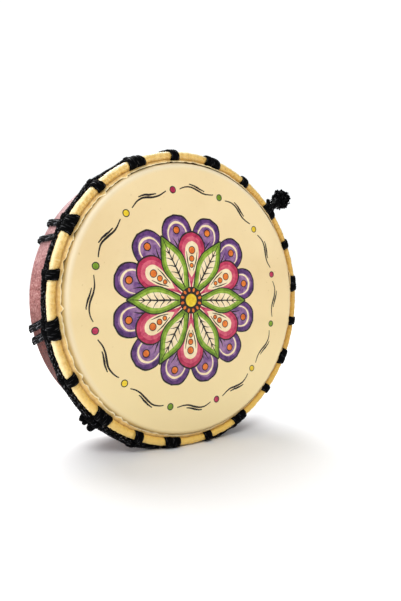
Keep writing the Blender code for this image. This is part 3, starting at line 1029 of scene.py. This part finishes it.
def lacing_path(number, side, standoff):
    """From behind the hoop over the shell, round its back edge and round the grip ring."""
    wrap = wrap_angle(number)
    lean, spread = LACING_LEAN[number]
    shift, half_angle = LACING_ODD_STARTS.get(number, LACING_START)
    start = wrap + shift + side * half_angle
    back = wrap + lean + side * spread
    bend_depth = SHELL_DEPTH - SHELL_BACK_ROUND
    center = shell_radius(bend_depth) - SHELL_BACK_ROUND
    points = []
    for t in np.linspace(0, 1, 5):
        depth = lerp(LACING_START_DEPTH, bend_depth, t)
        points.append(polar(shell_radius(depth) + standoff, lerp(start, back, t), -depth))
    bend = SHELL_BACK_ROUND + standoff
    for turn in (0.4, 0.8, 1.2, pi / 2):
        points.append(polar(center + bend * cos(turn), back, -bend_depth - bend * sin(turn)))
    grip = wrap + side * LACING_GRIP_HALF_ANGLE
    hold = GRIP_TUBE - LACING_HALF_HEIGHT
    rim = polar(center, back, 0.0)
    inner = polar(GRIP_RADIUS + 2.2 * GRIP_TUBE, grip, 0.0)
    for t in (0.3, 0.65, 1.0):
        depth = lerp(SHELL_DEPTH + standoff, GRIP_DEPTH + hold * 0.55, t)
        points.append(lerp(rim, inner, t) - (0.0, 0.0, depth))
    for turn in range(-70, -311, -40):
        points.append(on_tube(GRIP_RADIUS, GRIP_DEPTH, hold, grip, radians(turn))[0])
    return points


def make_lacing(number):
    """A double wrap's two runs of cord to the grip ring."""
    surface = Surface()
    half_height = LOW_LACING_HALF_HEIGHT if number == LOW_LACING else LACING_HALF_HEIGHT
    for side in (1, -1):
        points = lacing_path(number, side, half_height + 0.0001)
        rope(surface, points, 0.0010, polar(1.0, wrap_angle(number), 0.0), LACING_HALF_WIDTH, half_height,
             sides=28, pitch=0.045, count=6, relief=0.00085)
    nodes = [f"lacing_{number:02d}{run}" for run in "ab"]
    surface.make(f"lacing_cord_{number:02d}", ["lacing"], nodes)


def make_grip():
    """The ring in the middle of the back, wound with cord."""
    surface = Surface()
    path, up = zip(*(on_tube(GRIP_RADIUS, GRIP_DEPTH, GRIP_CORE, degrees, radians(GRIP_WINDINGS * degrees))
                     for degrees in rim_places(22 * GRIP_WINDINGS)))
    cord(surface, path, up, 0.0014, 0.0010, sides=10, closed=True, count=4, relief=0.0002)
    surface.make("wound_grip", ["cord"], ["grip_ring"])


def tied_loop(surface, center, axis_a, axis_b, size, half_width, half_height):
    """One round turn of a knot, lying in the plane of the two axes."""
    up = [axis_a * cos(turn) + axis_b * sin(turn) for turn in turns(46)]
    path = [center + direction * size for direction in up]
    cord(surface, path, up, half_width, half_height, sides=24, closed=True, count=6, relief=0.00035)


def axes_round(out):
    """Two directions at right angles to a given one."""
    across = unit(np.cross(out, (0.0, 0.0, 1.0)))
    return across, np.cross(across, out)


def make_ring_knot():
    """A knot and two small loops tied outside the running cord, beside a lower wrap."""
    surface = Surface()
    first, second = RING_KNOT_ANGLES
    # angle, how far past the knot's radius, size of the loops and half width of their cord
    lumps = ((first, 0.0010, 0.0015, 0.0019), (second + 0.6, 0.0006, 0.0011, 0.0017),
             (second - 1.1, 0.0002, 0.0011, 0.0016))
    for k, (angle, past, size, half) in enumerate(lumps):
        center = polar(RING_KNOT_OUT + past, angle, -RING_KNOT_DEPTH)
        out = polar(1.0, angle, 0.0)
        across, front = axes_round(out)
        for tilt, shift in ((0.35, 0.0006), (-0.75, -0.0003), (1.35, -0.0010)):
            tilt += 0.5 * k
            axis_a = across * cos(tilt) + front * sin(tilt)
            tied_loop(surface, center + out * shift, axis_a, out, size, half, half * 0.9)
        root = polar(RING_RADIUS + 0.001, angle, -RING_KNOT_DEPTH)
        rope(surface, [root, center], 0.0006, front, 0.0017, 0.0015, count=5, relief=0.0003)
    surface.make("tied_knot", ["cord"], ["ring_knot"])


def tuft_ball():
    """Middle and radius of the ball of yarns, which fills the outer corner of the node's box."""
    low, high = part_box("cord_tuft")
    radius = (high.y - low.y) / 2
    corners = np.array([DRUM.inverted() @ low, DRUM.inverted() @ high])
    x, y, _ = corners.max(0) - radius
    return np.array((x, y, corners[:, 2].mean())), radius


def yarn_path(rng, start, ball, ball_radius, out, half, loose):
    """One yarn from the neck out to the ball's skin, then curled back into it or left loose."""
    direction = unit(unit(rng.normal(size=3)) + out * 0.35)
    reach = ball_radius * rng.uniform(0.84, 1.0) - half
    turn = unit(np.cross(direction, rng.normal(size=3)))
    points = [start + rng.normal(size=3) * 0.0008, ball + direction * reach * 0.55 - turn * 0.0012,
              ball + direction * reach]
    if loose:
        points.append(ball + (direction * 1.06 + turn * 0.30) * ball_radius)
    else:
        points += [ball + (direction * 0.86 + turn * 0.42) * reach,
                   ball + (direction * 0.50 + turn * 0.55) * reach]
    # none may stand out further than a tenth of the ball's radius
    offset = np.array(points) - ball
    limit = ball_radius * 1.10 - half
    held = np.minimum(1.0, limit / np.linalg.norm(offset, axis=1, keepdims=True))
    return resample(ball + offset * held, 0.0008)


def make_tuft():
    """The cord's knotted end: a neck drawn out of the wrap and a ball of frayed yarns."""
    surface = Surface()
    ball, ball_radius = tuft_ball()
    wrap = wrap_angle(4)
    base = polar(HOOP_RADIUS + 0.0015, wrap - 0.2, -HOOP_DEPTH)
    waist = polar(0.1150, wrap - 0.7, -HOOP_DEPTH - 0.0008)
    out = unit(ball - waist)
    across, front = axes_round(out)
    neck = resample([base, lerp(base, waist, 0.5), waist, ball], 0.0006)
    reach = np.linalg.norm(neck - base, axis=1)
    wide = np.interp(reach, (0.0, 0.0022, 0.0045, 0.0068, 0.0095, 0.0140),
                     (0.0060, 0.0053, 0.0034, 0.0023, 0.0024, 0.0040))
    thick = np.interp(reach, (0.0, 0.0045, 0.0068, 0.0140), (0.0036, 0.0030, 0.0023, 0.0042))
    cord(surface, neck, carried_up(neck, front), wide, thick, sides=36, pitch=0.05, relief=0.0006)
    for tilt, shift in ((0.4, -0.0006), (-0.5, 0.0012)):
        axis_a = across * cos(tilt) + front * sin(tilt)
        axis_b = front * cos(tilt) - across * sin(tilt) + out * 0.3
        tied_loop(surface, waist + out * shift, axis_a, axis_b, 0.0019, 0.0011, 0.0010)
    # a spare end stands out of the wrap beside the neck
    spare = [polar(0.1124, wrap + 0.8, -0.0060), polar(0.1142, wrap + 2.2, -0.0064),
             polar(0.1158, wrap + 2.6, -0.0070)]
    rope(surface, spare, 0.0005, front, 0.0020, 0.0016, sides=20, count=6, relief=0.0004)
    rng = np.random.default_rng(YARN_SEED)
    start = ball - out * ball_radius * 0.55
    halves = [half for half, count in YARNS for _ in range(count)]
    for k, half in enumerate(halves):
        path = yarn_path(rng, start, ball, ball_radius, out, half, loose=k % 4 == 3)
        swell = (0.80 + 0.28 * np.sin(np.linspace(0, 9.0, len(path)) + k)) * half
        cord(surface, path, carried_up(path, across + front * 0.3), swell, swell,
             sides=12 if half > 0.001 else 6, pitch=0.004, count=3, relief=half * 0.28)
    surface.make("frayed_tuft", ["cord"], ["cord_tuft"])


# ---- Floor, light and camera ----
CAMERA_UNIT = 0.1077              # the camera's distances are in hoop radii
CAMERA_PLACE = (-1.7176, 0.046, 2.4728)
CAMERA_TILT = 0.021
CAMERA_TURN = 0.613
CAMERA_ROLL = 1.5                 # degrees round the drum's axis
CAMERA_LENS = 25.84
FLOOR_REACH = 40.0

# The studio's backdrop: where it stands, how bright it and the walls are, and the
# cosines from its middle between which the one gives way to the other
BACKDROP_TOWARD = (0.575, 0.818, -0.02)
BACKDROP = 1.06
WALLS = 0.34
BACKDROP_EDGE = 0.70
BACKDROP_END = 0.45
STUDIO_TINT = (0.965, 0.985, 1.0)


def place_in_scene(name, data):
    obj = bpy.data.objects.new(name, data)
    bpy.context.scene.collection.objects.link(obj)
    return obj


def make_camera():
    data = bpy.data.cameras.new("camera")
    data.lens = CAMERA_LENS
    data.sensor_width = 36.0
    data.clip_start = 0.01
    camera = place_in_scene("camera", data)
    roll = Matrix.Rotation(radians(CAMERA_ROLL), 4, 'Z')
    place = Matrix.Translation(Vector(CAMERA_PLACE) * CAMERA_UNIT)
    turn = Matrix.Rotation(-CAMERA_TILT, 4, 'X') @ Matrix.Rotation(-CAMERA_TURN, 4, 'Y')
    camera.matrix_world = DRUM @ roll @ place @ turn
    bpy.context.scene.camera = camera


def make_floor():
    """A pale floor, wide enough to run out of every view."""
    mesh = bpy.data.meshes.new("studio_floor")
    far = FLOOR_REACH
    corners = [(x, y, FLOOR_LEVEL) for x, y in ((-far, -far), (far, -far), (far, far), (-far, far))]
    mesh.from_pydata(corners, [], [(0, 1, 2, 3)])
    look = Look("studio_floor", 0.1)
    look.color = (0.90, 0.90, 0.90)
    mesh.materials.append(look.finished(0.7))
    place_in_scene("studio_floor", mesh)


def sun_light(name, toward, strength, spread):
    """A large, far light; toward is the direction it comes from."""
    data = bpy.data.lights.new(name, 'SUN')
    data.energy = strength
    data.angle = radians(spread)
    light = place_in_scene(name, data)
    light.rotation_euler = Vector(toward).to_track_quat('Z', 'Y').to_euler()


def make_lights():
    """A bright backdrop behind the drum, dimmer walls, and three large soft lights."""
    world = bpy.data.worlds.new("studio")
    bpy.context.scene.world = world
    world.use_nodes = True
    nodes = Nodes(world.node_tree)
    toward = nodes.node('ShaderNodeVectorMath', operation='DOT_PRODUCT')
    nodes.feed(toward.inputs[0], nodes.node('ShaderNodeTexCoord').outputs["Generated"])
    nodes.feed(toward.inputs[1], BACKDROP_TOWARD)
    brightness = nodes.scaled(toward.outputs["Value"], WALLS, BACKDROP, BACKDROP_END, BACKDROP_EDGE)
    background = world.node_tree.nodes["Background"].inputs
    nodes.feed(background["Strength"], brightness)
    nodes.feed(background["Color"], STUDIO_TINT)
    sun_light("key", (-0.41, -0.52, 0.75), 1.21, 22)
    sun_light("side", (-0.90, 0.10, 0.45), 0.9, 36)
    sun_light("top", (-0.06, 0.60, 1.0), 2.8, 50)


# ---- The scene ----
bpy.context.scene.view_settings.view_transform = 'Standard'
make_camera()
make_floor()
make_lights()

LOOKS = {ink: paint_look(ink, *colors) for ink, colors in INK_COLORS.items()}
LOOKS.update({
    "hide": head_look(),
    "hoop": hoop_look(),
    "wood": wood_look(),
    "cord": cord_look("black_cord", 0.05, 0.60, (170, 1300)),
    "lacing": cord_look("lacing_cord", 0.26, 0.57, (110, 1250)),
    "braid": cord_look("braided_cord", 0.16, 0.57, (520, 1100)),
    "lip": lip_look("cut_hide", (222, 178, 100), (248, 216, 146)),
    "lip_cut": lip_look("cut_hide_edge", (246, 224, 168), (254, 240, 204)),
})

make_shell()
make_head()
make_hoop()
make_lip()
make_cord_ring()
for wrap_number in range(1, len(WRAP_ANGLES) + 1):
    make_wrap(wrap_number)
for lacing_number in LACING_LEAN:
    make_lacing(lacing_number)
make_grip()
make_ring_knot()
make_tuft()
